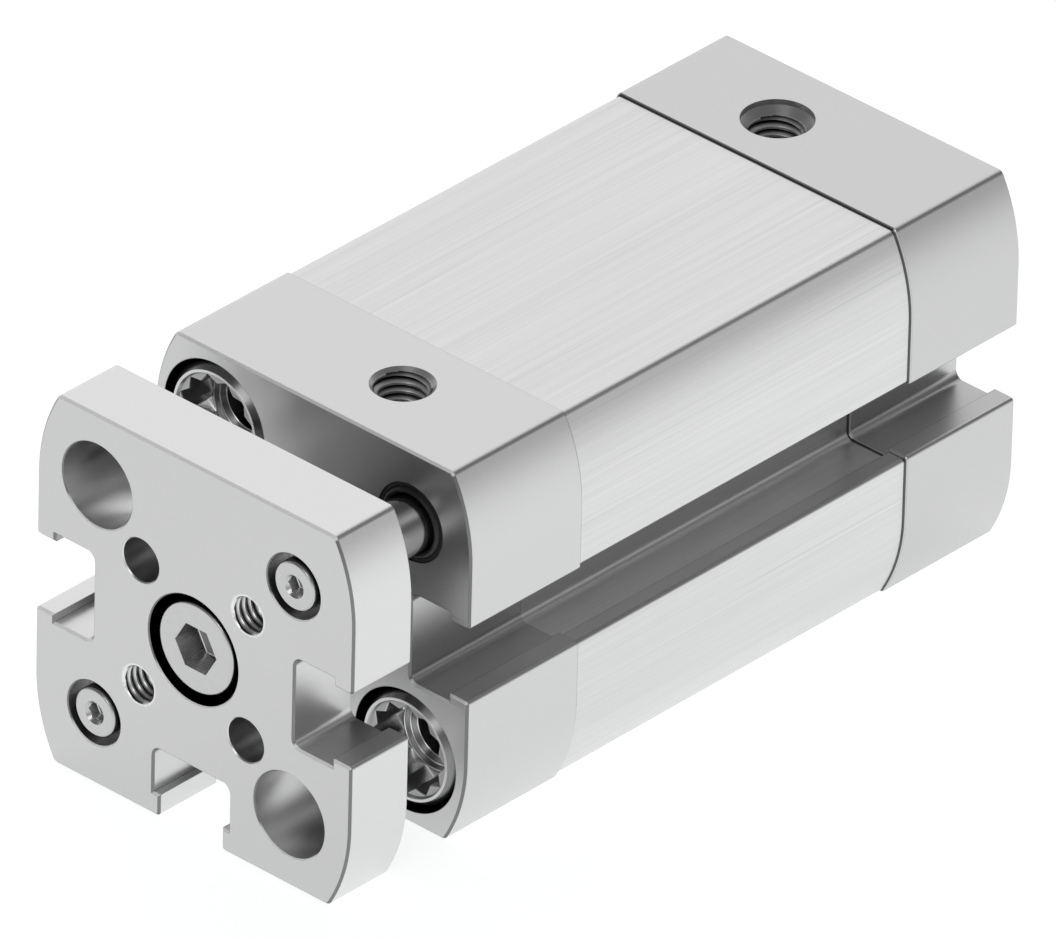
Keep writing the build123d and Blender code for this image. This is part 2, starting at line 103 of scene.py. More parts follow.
# Floor and studio: each stop is the sine of a height above the horizon and the light from there
floor_tone = 0.5
floor_glow = 0.85
floor_white = (0.985, 1.0, 0.993)
floor_far_share = 0.7
studio_stops = [(0.0, 0.82), (0.16, 0.6), (0.36, 0.2), (0.8, 0.15)]

# Camera, fitted to the photo: it looks at a point shifted from the middle of the plate's front face
photo_width = 1056
camera_azimuth = radians(42.0372)
camera_elevation = radians(31.89856)
camera_roll = radians(1.46405)
camera_distance = 2.05528
camera_right_shift = 27.32681 * mm
camera_up_shift = 14.7647 * mm
focal_pixels = 25188.45
sensor_width = 36.0

# Collar screws: head, shank and teeth as in their solids, and a socket that steps down to the thread
collar_head_r = 5.2 * mm
collar_head_l = 5.0 * mm
collar_bevel = 0.55 * mm
collar_rim_r = 4.38 * mm  # inner edge of the thin rim
socket_points = 12
socket_root_r = 4.2 * mm
socket_tooth_r = 3.55 * mm
tooth_face_l = 0.25 * mm
tooth_bevel = 0.06 * mm
socket_l = 3.5 * mm
socket_edges = ((3.5 * mm, 3.4 * mm), (3.8 * mm, 3.0 * mm), (4.2 * mm, 2.6 * mm))  # depth and radius
# width of small edges; in the collar screws' sockets they are also painted bright, a painted highlight
bright_edge = 0.05 * mm
collar_thread_start = 5.8 * mm
collar_shank_r = 4.0 * mm
collar_tip = 0.3 * mm
collar_counterbore_r = 5.65 * mm
collar_screw_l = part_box("front_collar_screws")[1].y - cap_y
screw_turn = radians(16)  # how far each collar screw is turned past the one before
rim_edge = 0.03 * mm  # width of the broken edges of the rim
bevel_inset = 0.01 * mm  # the bevel ends this far inside the head's wall
root_margin = 0.02 * mm  # the bevels of the teeth may reach this far past the roots
# painted shade of the collar screws' threads and of their lead-in cone
collar_thread_painted_shades = (0.6, 0.98)  # at the crest and at the root
collar_cone_painted_shade = 0.9

# Socket screws of the plate
yoke_screw = {"head_r": 4.2 * mm, "head_l": 3.5 * mm, "hex_r": 2.0 * mm, "hex_l": 2.6 * mm,
              "mouth": 0.03 * mm, "thread_r": 2.5 * mm, "counterbore_r": 5.0 * mm}
guide_screw = {"head_r": 2.25 * mm, "head_l": 2.5 * mm, "hex_r": 0.75 * mm, "hex_l": 1.2 * mm,
               "mouth_r": 1.07 * mm, "thread_r": 1.25 * mm, "counterbore_r": 2.95 * mm}

# Wipers round the guide rods
guide_rod_r = 2.5 * mm
wiper_gap = 0.03 * mm
wiper_rim_w = 0.35 * mm
wiper_rim_round = 0.12 * mm
wiper_lip_w = 0.75 * mm
wiper_lip_l = 0.3 * mm  # how far the lip stands out
wiper_lip_points = 13
wiper_groove_l = 0.25 * mm

# Edges of screws and holes. A dark line on sharp edges is painted shade; the chamfers of end faces are
# painted pale where they face up, a painted highlight, and dark elsewhere, painted shade
edge_shade_share = 0.3  # of the colour beside the edge
line_reach = 0.17 * mm
line_cosines = (0.8, 0.96)  # of the angle between a surface and its rounded form: line, no line
chamfer_reach = 0.35 * mm
chamfer_lean = (0.3, 0.95)  # least and most of its normal along Y
chamfer_rise = (0.35, 0.55)  # of its normal along Z, from dark to pale
chamfer_roughness = 0.85
head_round = 0.3 * mm
tip_chamfer = 0.4 * mm
drill_slope = 0.577
hole_chamfer = 0.1 * mm
hex_edge = 0.04 * mm
hex_mouth_edge = 0.03 * mm
# painted shade: a socket screw's side is painted dark from this depth down, in the gap round its head
head_shade_l = 0.6 * mm  # how deep the gap round a head is before it is dark
# the painted edge shade is left off this near to a tapped hole's axis
tapped_clear_r = 2.3 * mm  # no edge line this near to a tapped hole's axis, because a thread closes it

# Threads: pitch by nominal radius in millimetres, and the form of a metric thread
thread_pitches = {2.0: 0.7 * mm, 2.5: 0.8 * mm}
thread_height = 0.5413  # of the pitch
thread_shares = np.array([0.0, 0.125, 0.395, 0.465, 0.66, 0.73])  # root, then crest with broken edges
thread_rises = np.array([0.0, 0.0, 0.9, 1.0, 1.0, 0.9])  # of the height
hidden_gap = 0.004 * mm  # a liner's outer wall stands this far off the wall of its hole
liner_wall = 0.008 * mm  # least thickness of a liner, at the root of its thread
# painted shade of the liners' threads, and below 0 a painted highlight on crests and the plain lead-in cone
liner_painted_shades = (-0.6, 1.0)  # at the crest and at the root
liner_cone_painted_shade = -0.6

# Meshes of the new pieces
ring_divisions = 96
merge_distance = 3e-7
shortest_edge = 1e-8


class Field:
    """A number that varies over a surface. Arithmetic on it adds Math nodes."""

    def __init__(self, finish, socket):
        self.finish = finish
        self.socket = socket

    def math(self, operation, *values):
        return self.finish.add("ShaderNodeMath", {"operation": operation}, dict(enumerate(values)))

    def __add__(self, other):
        return self.math("ADD", self, other)

    def __sub__(self, other):
        return self.math("SUBTRACT", self, other)

    def __rsub__(self, other):
        return self.math("SUBTRACT", other, self)

    def __mul__(self, other):
        return self.math("MULTIPLY", self, other)

    def __pow__(self, other):
        return self.math("POWER", self, other)

    def __abs__(self):
        return self.math("ABSOLUTE", self)

    def __gt__(self, other):
        return self.math("GREATER_THAN", self, other)

    def __lt__(self, other):
        return self.math("LESS_THAN", self, other)

    __radd__ = __add__
    __rmul__ = __mul__

    def step(self, low, high):
        """0 below low, 1 above high, and smooth between them."""
        sockets = {"Value": self, "From Min": low, "From Max": high}
        return self.finish.add("ShaderNodeMapRange", {"interpolation_type": "SMOOTHSTEP"}, sockets)


class Finish:
    """One material. Numbers that are the same all over go on the shader's own sockets."""

    def __init__(self, name, **constants):
        self.material = bpy.data.materials.new(name)
        self.material.use_nodes = True
        self.tree = self.material.node_tree
        self.shader = self.tree.nodes["Principled BSDF"]
        self.set(**constants)
        self.place = self.add("ShaderNodeTexCoord", {}, {}, output="Object")
        self.x = self.add("ShaderNodeSeparateXYZ", {}, {0: self.place})
        self.y, self.z = (Field(self, self.x.socket.node.outputs[i]) for i in (1, 2))

    def add(self, kind, settings, sockets, output=0):
        """One node: its settings first, then the values or links of its sockets."""
        node = self.tree.nodes.new(kind)
        for name, value in settings.items():
            setattr(node, name, value)
        for name, value in sockets.items():
            self.feed(node.inputs[name], value)
        return Field(self, node.outputs[output])

    def feed(self, socket, value):
        if isinstance(value, Field):
            self.tree.links.new(value.socket, socket)
        else:
            socket.default_value = value

    def set(self, **values):
        for name, value in values.items():
            self.feed(self.shader.inputs[name.replace("_", " ")], value)

    def noise(self, scale, place=None, detail=2.0, rough=0.5):
        sockets = {"Vector": place or self.place, "Scale": scale, "Detail": detail, "Roughness": rough}
        return self.add("ShaderNodeTexNoise", {}, sockets)

    def stretched(self, x, y, z):
        """The place with each axis multiplied, for streaks along the axis with the smallest number."""
        return self.add("ShaderNodeCombineXYZ", {}, {0: self.x * x, 1: self.y * y, 2: self.z * z})

    def blend(self, share, first, second):
        """Colour from first to second as share goes from 0 to 1."""
        sockets = {0: share, 6: first, 7: second}
        return self.add("ShaderNodeMix", {"data_type": "RGBA"}, sockets, output=2)

    def rounded(self, radius):
        """Normals that round every sharp edge by this radius."""
        return self.add("ShaderNodeBevel", {"samples": 6}, {"Radius": radius})

    def bump(self, height, strength, distance, normal=None):
        sockets = {"Strength": strength, "Distance": distance, "Height": height}
        if normal:
            sockets["Normal"] = normal
        return self.add("ShaderNodeBump", {}, sockets)

    def off_axis(self, at_x, at_z):
        """Distance from the nearest of the four lines parallel to Y at +-at_x, axis_z +-at_z."""
        across = abs(self.x) - at_x
        up = abs(self.z - axis_z) - at_z
        return (across * across + up * up) ** 0.5

    def colour(self):
        return Field(self, self.shader.inputs["Base Color"].links[0].from_socket)

    def paint(self, mask, value):
        """Take the colour to this grey where the mask is 1."""
        self.set(Base_Color=self.blend(mask, self.colour(), grey(value)))

    def paint_shade_and_highlights(self, dark=0.012, bright=0.97):
        """Painted shade and painted highlights: go to dark as the mesh's own attribute of painted shade
        goes to 1, and to bright as it goes to -1.
        """
        hollow = self.add("ShaderNodeAttribute", {"attribute_name": "hollow"}, {}, output="Fac")
        self.paint(hollow, dark)
        self.paint(0 - hollow, bright)

    def paint_edge_shade(self, end_y=None, share=1.0):
        """Paint a dark hairline on sharp edges, as painted shade, and paint the chamfers of the end face at
        end_y.

        Those chamfers, whose normals lean between the Y axis and a side, are painted pale where they face
        up, a painted highlight, and dark elsewhere, painted shade. The share fades all of it out.
        """
        flat = self.add("ShaderNodeNewGeometry", {}, {}, output="Normal")
        sockets = {0: self.rounded(line_reach), 1: flat}
        along = self.add("ShaderNodeVectorMath", {"operation": "DOT_PRODUCT"}, sockets, output="Value")
        # painted shade: a dark line where the rounded normal leans away from the flat one
        line = (1 - along.step(*line_cosines)) * share
        if end_y is None:
            self.dim(line, edge_shade_share)
            return
        apart = self.add("ShaderNodeSeparateXYZ", {}, {0: flat})
        end, up = (Field(self, apart.socket.node.outputs[i]) for i in (1, 2))
        near = (abs(self.y - end_y) < chamfer_reach) * share
        chamfer = (abs(end) > chamfer_lean[0]) * (abs(end) < chamfer_lean[1]) * near
        # painted highlight on chamfers that face up; the rest of each chamfer gets painted shade
        painted_highlight = chamfer * up.step(*chamfer_rise)
        self.dim(line * (1 - chamfer), edge_shade_share)
        self.dim(chamfer - painted_highlight, edge_shade_share)
        self.paint(painted_highlight, 1.0)
        rough = Field(self, self.shader.inputs["Roughness"].links[0].from_socket)
        self.set(Roughness=rough + (chamfer_roughness - rough) * painted_highlight)

    def dim(self, mask, share):
        """Take the colour down to this share of itself where the mask is 1."""
        sockets = {0: mask, 6: self.colour(), 7: grey(share)}
        settings = {"data_type": "RGBA", "blend_type": "MULTIPLY"}
        self.set(Base_Color=self.add("ShaderNodeMix", settings, sockets, output=2))


def grey(value):
    return (value, value, value, 1.0)


def tinted(colour, factor):
    return (*(c * factor for c in colour), 1.0)


def satin(name, value, roughness):
    """Smooth anodised aluminium: fine grain and a faint cloudiness."""
    finish = Finish(name, Metallic=1.0)
    grain = finish.noise(9000)
    cloud = finish.noise(140, detail=3)
    finish.set(
        Base_Color=finish.blend(grain * 0.5 + cloud * 0.5, grey(value * 0.96), grey(value * 1.04)),
        Roughness=roughness - 0.03 + cloud * 0.06,
        Normal=finish.bump(grain, 0.08, 0.004 * mm),
    )
    return finish


def plate_satin():
    """The plate's finish: its front face is painted a little darker than its sides, as painted shade.

    The counterbores are painted nearly black inside and the other holes a little darker, all as painted
    shade.
    The edge of the tapped ones has no painted edge shade, because a thread closes it.
    """
    finish = satin("plate_satin", plate_tone, 0.33)
    depth = finish.y - front_y
    deeper = depth > 1.2 * hole_chamfer
    # painted shade: the front face takes a darker tone than the sides
    finish.paint(depth < wall_margin, plate_front_shade_tone)
    # painted shade inside the holes: counterbores nearly black, dowel and access holes a little darker
    for at_x, radius, tone in (
        (0.0, yoke_screw["counterbore_r"], recess_painted_shade),
        (guide_x, guide_screw["counterbore_r"], recess_painted_shade),
        (yoke_hole_x, dowel_r, dowel_shade_share * plate_tone),
        (corner, access_r, access_shade_share * plate_tone),
    ):
        finish.paint((finish.off_axis(at_x, at_x) < radius + wall_margin) * deeper, tone)
    # painted edge shade and chamfer highlights, left off round the tapped holes
    finish.paint_edge_shade(front_y, finish.off_axis(yoke_hole_x, yoke_hole_x) > tapped_clear_r)
    return finish


def cap_satin(name, face_y, sense, tone):
    """A cap's finish: painted shade on its end face, on the walls of the counterbores of its collar screws
    and in its slots, and painted shade and highlights on its edges.
    """
    finish = satin(name, tone, 0.34)
    depth = (finish.y - face_y) * sense
    # painted shade: the end face takes a darker tone than the sides
    finish.paint(depth < wall_margin, cap_face_shade_tone)
    joint_lines(finish)
    # painted shade: the walls of the collar screws' counterbores are painted nearly black
    inside = finish.off_axis(corner, corner) < collar_counterbore_r + wall_margin
    finish.paint(inside * (depth > counterbore_edge), recess_painted_shade)
    shade_slots(finish, tone)
    # painted edge shade and chamfer highlights
    finish.paint_edge_shade(face_y)
    return finish


def shade_slots(finish, tone):
    """Painted shade: the sensor slots are painted a little darker inside than the faces that they open in.
    """
    out, up = abs(finish.x), finish.z - axis_z
    side = (out > slot_shade_start) * (out < slot_shade_end) * (abs(up) < slot_shade_half)
    below = (up < -slot_shade_start) * (up > -slot_shade_end) * (out < slot_shade_half)
    # painted shade inside the slots
    finish.paint(side + below, slot_shade_share * tone)


def joint_lines(finish):
    """Dark hairlines where the barrel meets its caps, the rear one broader and darker."""
    for joint_y, (half_width, tone) in ((barrel_front_y, front_joint), (barrel_rear_y, rear_joint)):
        finish.paint(abs(finish.y - joint_y) < half_width, tone)


def brushed(name, value, roughness):
    """Aluminium brushed along the cylinder: fine streaks, broader bands and a few darker scratches."""
    finish = Finish(name, Metallic=1.0)
    fine = finish.noise(1.0, finish.stretched(12000, 45, 12000), detail=3, rough=0.65)
    broad = finish.noise(1.0, finish.stretched(2400, 16, 2400))
    scratch = finish.noise(1.0, finish.stretched(5200, 24, 5200), detail=1).step(0.66, 0.74)
    tone = (fine * 0.65 + broad * 0.35).step(0.25, 0.75)
    light = finish.blend(tone, grey(value * 0.92), grey(value * 1.06))
    finish.set(
        Base_Color=finish.blend(scratch * 0.25, light, grey(value * 0.6)),
        Roughness=roughness - 0.06 + fine * 0.12,
        Normal=finish.bump(fine, 0.22, 0.006 * mm),
    )
    shade_slots(finish, value)
    # painted edge shade on the barrel's edges
    finish.paint_edge_shade()
    joint_lines(finish)
    return finish


def turned(name, value, roughness, at_x=0.0, strength=0.3, edge=0.0):
    """Turned steel: rings about the axes that lie +-at_x and +-at_x from the middle."""
    finish = Finish(name, Metallic=1.0)
    radius = finish.off_axis(at_x, at_x)
    grooves = finish.add("ShaderNodeTexNoise", {"noise_dimensions": "1D"},
                         {"W": radius * 16000, "Scale": 1.0, "Detail": 2.0})
    cloud = finish.noise(900)
    finish.set(
        Base_Color=finish.blend(grooves * 0.6 + cloud * 0.4, grey(value * 0.9), grey(value * 1.08)),
        Roughness=roughness - 0.04 + grooves * 0.08,
        Normal=finish.bump(grooves, strength, 0.01 * mm, finish.rounded(edge) if edge else None),
    )
    return finish


def ground(name, value, roughness):
    """Ground rod steel: hair-fine rings round the rod."""
    finish = Finish(name, Metallic=1.0)
    grooves = finish.noise(1.0, finish.stretched(300, 14000, 300))
    cloud = finish.noise(500)
    finish.set(
        Base_Color=finish.blend(grooves * 0.5 + cloud * 0.5, grey(value * 0.93), grey(value * 1.05)),
        Roughness=roughness - 0.04 + grooves * 0.08,
        Normal=finish.bump(grooves, 0.12, 0.004 * mm, finish.rounded(0.05 * mm)),
    )
    return finish


def moulded(name, colour, roughness, grain_scale=7000):
    """Rubber, plastic or pressed compound: a fine grain and uneven gloss."""
    finish = Finish(name, Metallic=0.0)
    grain = finish.noise(grain_scale, detail=3)
    cloud = finish.noise(700)
    finish.set(
        Base_Color=finish.blend(grain * 0.4 + cloud * 0.6, tinted(colour, 0.8), tinted(colour, 1.25)),
        Roughness=roughness - 0.06 + cloud * 0.12,
        Normal=finish.bump(grain, 0.15, 0.01 * mm, finish.rounded(0.06 * mm)),
    )
    return finish


def sintered(name, colour, roughness):
    """Sintered bronze: speckled with small dark pores."""
    finish = Finish(name, Metallic=1.0)
    pores = finish.noise(8000).step(0.35, 0.5)
    finish.set(
        Base_Color=finish.blend(pores, tinted(colour, 0.35), tinted(colour, 1.0)),
        Roughness=roughness,
        Normal=finish.bump(pores, 0.3, 0.01 * mm, finish.rounded(0.05 * mm)),
    )
    return finish


def make_camera():
    """Place the camera as the photo was taken: azimuth, elevation and roll about the plate's front."""
    back = Vector((
        sin(camera_azimuth) * cos(camera_elevation),
        -cos(camera_azimuth) * cos(camera_elevation),
        sin(camera_elevation),
    ))
    level = Vector((cos(camera_azimuth), sin(camera_azimuth), 0))
    upright = back.cross(level)
    right = level * cos(camera_roll) + upright * sin(camera_roll)
    up = upright * cos(camera_roll) - level * sin(camera_roll)
    data = bpy.data.cameras.new("photo_camera")
    data.sensor_width = sensor_width
    data.lens = focal_pixels / photo_width * sensor_width
    data.clip_start = 0.05
    data.clip_end = 100
    camera = bpy.data.objects.new("photo_camera", data)
    target = Vector((0, front_y, axis_z)) + camera_right_shift * right + camera_up_shift * up
    turn = Matrix((right, up, back)).transposed().to_4x4()
    camera.matrix_world = Matrix.Translation(target + camera_distance * back) @ turn
    bpy.context.scene.collection.objects.link(camera)
    bpy.context.scene.camera = camera


def make_floor():
    """A plain pale floor, far larger than the object. Its glow keeps it pale and weakens far off."""
    reach = 30.0
    near, far = 0.25, 1.2
    mesh = bpy.data.meshes.new("floor")
    corners = [(-reach, -reach, 0), (reach, -reach, 0), (reach, reach, 0), (-reach, reach, 0)]
    mesh.from_pydata(corners, [], [(0, 1, 2, 3)])
    floor = bpy.data.objects.new("floor", mesh)
    bpy.context.scene.collection.objects.link(floor)
    coat = Finish("floor_paint", Base_Color=grey(floor_tone), Roughness=0.9, Emission_Strength=floor_glow)
    away = (coat.x * coat.x + coat.y * coat.y) ** 0.5
    glow, far_glow = tinted(floor_white, 1.0), tinted(floor_white, floor_far_share)
    coat.set(Emission_Color=coat.blend(away.step(near, far), glow, far_glow))
    mesh.materials.append(coat.material)


def make_panel(name, azimuth, elevation, distance, width, height, radiance):
    """A soft light panel that faces the object: azimuth 0 is in front, 90 on the right."""
    data = bpy.data.lights.new(name, "AREA")
    data.shape = "RECTANGLE"
    data.size = width
    data.size_y = height
    data.energy = radiance * pi * width * height
    away = Vector((
        sin(radians(azimuth)) * cos(radians(elevation)),
        -cos(radians(azimuth)) * cos(radians(elevation)),
        sin(radians(elevation)),
    ))
    panel = bpy.data.objects.new(name, data)
    panel.matrix_world = Matrix.Translation(away * distance + Vector((0, 0, axis_z))) @ (
        away.to_track_quat("Z", "Y").to_matrix().to_4x4()
    )
    bpy.context.scene.collection.objects.link(panel)


def make_world(stops):
    """A grey studio whose light varies with height, as the stops say."""
    world = bpy.data.worlds.new("studio")
    world.use_nodes = True
    tree = world.node_tree
    place = tree.nodes.new("ShaderNodeTexCoord")
    apart = tree.nodes.new("ShaderNodeSeparateXYZ")
    ramp = tree.nodes.new("ShaderNodeValToRGB")
    tree.links.new(place.outputs["Generated"], apart.inputs[0])
    tree.links.new(apart.outputs["Z"], ramp.inputs[0])
    tree.links.new(ramp.outputs[0], tree.nodes["Background"].inputs["Color"])
    elements = ramp.color_ramp.elements
    for number, (height, value) in enumerate(stops):
        element = elements[number] if number < 2 else elements.new(height)
        element.position = height
        element.color = grey(value)
    bpy.context.scene.world = world


def join_patches(name, patches, body, material, crease=35.0):
    """Make one closed piece of patches, each a grid of points and the painted shade at them, a painted
    highlight below 0.

    Borders of patches coincide, so that merging their points closes the piece.
    """
    points, faces, painted_shades, start = [], [], [], 0
    for patch, hollow in patches:
        rows, columns = patch.shape[:2]
        index = start + np.arange(rows * columns).reshape(rows, columns)
        quads = np.stack([index[:-1, :-1], index[:-1, 1:], index[1:, 1:], index[1:, :-1]], axis=-1)
        points.append(patch.reshape(-1, 3))
        faces.append(quads.reshape(-1, 4))
        painted_shades.append(hollow.ravel())
        start += rows * columns
    mesh = bpy.data.meshes.new(name)
    mesh.from_pydata(np.concatenate(points).tolist(), [], np.concatenate(faces).tolist())
    mesh.attributes.new("hollow", "FLOAT", "POINT").data.foreach_set("value", np.concatenate(painted_shades))
    edit = bmesh.new()
    edit.from_mesh(mesh)
    bmesh.ops.remove_doubles(edit, verts=edit.verts, dist=merge_distance)
    bmesh.ops.dissolve_degenerate(edit, edges=edit.edges, dist=shortest_edge)
    bmesh.ops.recalc_face_normals(edit, faces=edit.faces)
    edit.to_mesh(mesh)
    edit.free()
    mesh.polygons.foreach_set("use_smooth", np.ones(len(mesh.polygons), bool))
    mesh.set_sharp_from_angle(angle=radians(crease))
    mesh.materials.append(material)
    piece = bpy.data.objects.new(name, mesh)
    bpy.context.scene.collection.objects.link(piece)
    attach(piece, body)
    return piece


def round_angles(divisions):
    return np.linspace(0, 2 * pi, divisions + 1)


def rings(steps, angles):
    """A grid from ring to ring. Each step is a depth, a radius and the painted shade there, a painted
    highlight below 0.

    All three may vary with the angle, and depth runs along +Y.
    """
    ones = np.ones_like(angles)
    depth, radius, hollow = (np.stack([step[i] * ones for step in steps]) for i in range(3))
    return np.stack([radius * np.cos(angles), depth, radius * np.sin(angles)], axis=-1), hollow


def female_thread(start, end, nominal_r, pitch, angles, opened_r, cone_l, painted_shade_range, cone_painted_shade):
    """A right-hand thread's wall as a grid whose rows climb one pitch a turn.

    The depth is held between start and end, where the wall begins at opened_r and a cone of 45
    degrees leads in down to the crest. The cone is plain for its first cone_l, and from there on the
    groove cuts into it. The painted shade is darkest at the thread's root, and below 0 it is a painted
    highlight.
    """
    height = pitch * thread_height
    first = np.floor(start / pitch) - 1
    count = int(np.ceil((end - start) / pitch)) + 5
    rows = ((first + np.arange(count))[:, None] + thread_shares).ravel() * pitch
    rise = np.tile(thread_rises, count) * height
    depth = np.clip(rows[:, None] - pitch * angles / (2 * pi), start, end)
    inset = np.minimum(depth - start, end - depth)
    cone = np.maximum(opened_r - inset, nominal_r - height)
    deepest = cone + 4 * np.maximum(inset - cone_l, 0)
    radius = np.clip((nominal_r - rise)[:, None], opened_r - inset, deepest)
    share = np.clip((nominal_r - radius) / height, 0, 1)
    low, high = painted_shade_range
    hollow = np.where(inset <= cone_l, cone_painted_shade, high - (high - low) * share**2)
    return np.stack([radius * np.cos(angles), depth, radius * np.sin(angles)], axis=-1), hollow


def placed(patches, mouth, axis):
    """Put patches at a mouth, turned so that their depth runs against the axis that leaves it."""
    moved = []
    for patch, hollow in patches:
        x, depth, z = patch[..., 0], patch[..., 1], patch[..., 2]
        if abs(axis[2]) > 0.5:
            patch = np.stack([x, z * axis[2], -depth * axis[2]], axis=-1)
        else:
            patch = np.stack([-x * axis[1], -depth * axis[1], z], axis=-1)
        moved.append((patch + np.array(mouth), hollow))
    return moved


def thread_liner(name, mount, body, material, opening_r=None, cone_l=0.0):
    """A thread in a plain hole: the climbing wall, and a sleeve against the wall of the hole.

    With an opening radius, a flat ring closes the hole down to it at both faces, and cone_l is as
    long as its lead-in cones stay plain.
    """
    hole_r = mount["dims"]["r_mm"] * mm
    length = mount["dims"]["length_mm"] * mm
    sleeve_r = hole_r - hidden_gap
    opening = opening_r or sleeve_r
    angles = round_angles(ring_divisions)
    pitch = thread_pitches[mount["dims"]["r_mm"]]
    root_r = sleeve_r - liner_wall
    wall = female_thread(0.0, length, root_r, pitch, angles, opening, cone_l, liner_painted_shades,
                         liner_cone_painted_shade)
    sleeve = rings([(0, opening, 0), (0, sleeve_r, 0), (length, sleeve_r, 0), (length, opening, 0)], angles)
    mouth = np.array(mount["pos_m"]) + np.array(mount["axis"]) * length / 2
    patches = placed([wall, sleeve], mouth, mount["axis"])
    return join_patches(name, patches, body, material)


def quarter_round(radius, size, steps=6):
    """Rings over the outer edge of a face at depth 0, from the side wall to the face."""
    turns = np.linspace(0, pi / 2, steps)
    return [(size * (1 - sin(t)), radius - size * (1 - cos(t)), 0.0) for t in turns]


def collar_screw(name, x, face, z, sense, turn, material):
    """A collar screw with a bore through it: thin rim, broad outer bevel, socket of twelve points and
    female thread.

    The socket's radius goes in a straight line from a tooth to a root and back, twelve times round.
    Its floor steps down to the thread over edges that catch the light and are painted bright too, a painted
    highlight. Its outer wall, bevel, teeth and socket walls carry painted shade.
    """
    from_turn = round_angles(12 * socket_points)
    angles = from_turn + turn
    sector = pi / socket_points
    from_tooth = sector * (1 - np.abs(1 - (from_turn / sector) % 2))
    side = socket_root_r * np.array([cos(sector), sin(sector)]) - np.array([socket_tooth_r, 0.0])
    lean = np.arctan2(side[1], side[0])
    star = socket_tooth_r * sin(lean) / np.sin(lean - from_tooth)
    wide_star = np.minimum(star + tooth_bevel, socket_root_r + root_margin)
    nominal = mounts["front_thread_lower"]["dims"]["r_mm"] * mm
    bevel_r = collar_head_r - collar_bevel
    # each step's third value is painted shade, and below 0 a painted highlight
    head = [
        (collar_head_l, collar_shank_r, 1.0),
        (collar_head_l, collar_head_r, 1.0),
        (collar_bevel + bright_edge, collar_head_r, 1.0),
        (collar_bevel, collar_head_r - bevel_inset, 0.65),
        (rim_edge, bevel_r + rim_edge, 0.6),
        (0.0, bevel_r, 0.0),
        (0.0, collar_rim_r + rim_edge, 0.0),
        (rim_edge, collar_rim_r, 0.3),
        (tooth_face_l, socket_root_r + rim_edge, 0.5),
        (tooth_face_l, wide_star, 0.4),
        (tooth_face_l + tooth_bevel, star, -0.2),
        (tooth_face_l + 2 * tooth_bevel, star, -0.4),
        (socket_l - tooth_bevel, star, -0.2),
        (socket_l, star - tooth_bevel, -0.8),
    ]
    for depth, radius in socket_edges:
        head += [
            (depth, radius + bright_edge, 0.55),
            (depth, radius, -0.9),
            (depth + bright_edge, radius - bright_edge, -0.9),
            (depth + 2 * bright_edge, radius - bright_edge, 0.55),
        ]
    opened = socket_edges[-1][1] - bright_edge
    head.append((collar_thread_start, opened, 0.1))
    outside = [
        (collar_screw_l, opened, 0.5),
        (collar_screw_l, collar_shank_r - collar_tip, 0.0),
        (collar_screw_l - collar_tip, collar_shank_r, 0.0),
        (collar_head_l, collar_shank_r, 1.0),
    ]
    pitch = thread_pitches[mounts["front_thread_lower"]["dims"]["r_mm"]]
    wall = female_thread(collar_thread_start, collar_screw_l, nominal, pitch, angles, opened, 0.0,
                         collar_thread_painted_shades, collar_cone_painted_shade)
    patches = placed([rings(head, angles), wall, rings(outside, angles)], (x, face, z), (0, -sense, 0))
    return join_patches(name, patches, "housing", material, crease=28.0)


def socket_screw(name, sizes, x, z, node_name, material):
    """A socket screw: rounded head, hexagon with broken edges and a drilled cone, and its shank.

    The hexagon's radius at an angle is that of its flats, divided by the cosine of the angle from
    the middle of the nearest flat.
    """
    low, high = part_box(node_name)
    length = high.y - low.y
    angles = round_angles(ring_divisions)
    hexagon = sizes["hex_r"] / np.cos(angles % (pi / 3) - pi / 6)
    mouth = sizes["mouth_r"] * np.ones_like(angles) if "mouth_r" in sizes else hexagon + sizes["mouth"]
    floor = sizes["hex_l"]
    # each step's third value is painted shade, and below 0 a painted highlight: dark gap round the head and
    # drilled cone, bright hexagon walls
    steps = [
        (length, 0.0, 0.0),
        (length, sizes["thread_r"] - tip_chamfer, 0.0),
        (length - tip_chamfer, sizes["thread_r"], 0.0),
        (sizes["head_l"], sizes["thread_r"], 0.0),
        (sizes["head_l"], sizes["head_r"], 1.0),
        (head_shade_l, sizes["head_r"], 1.0),
        *quarter_round(sizes["head_r"], head_round),
        (0.0, sizes["head_r"] - head_round - bright_edge, 0.0),
        (0.0, mouth + hex_mouth_edge, 0.0),
        (0.0, mouth, 0.0),
        (mouth - hexagon, hexagon, 0.0),
        (mouth - hexagon + hex_edge, hexagon, -0.7),
        (floor - hex_edge, hexagon, -0.7),
        (floor, hexagon - hex_edge, -0.9),
        (floor + hex_edge * drill_slope, hexagon - 2 * hex_edge, 0.7),
        (floor + sizes["hex_r"] * drill_slope, 0.0, 0.85),
    ]
    patches = placed([rings(steps, angles)], (x, low.y, z), (0, -1, 0))
    return join_patches(name, patches, "rod", material, crease=28.0)


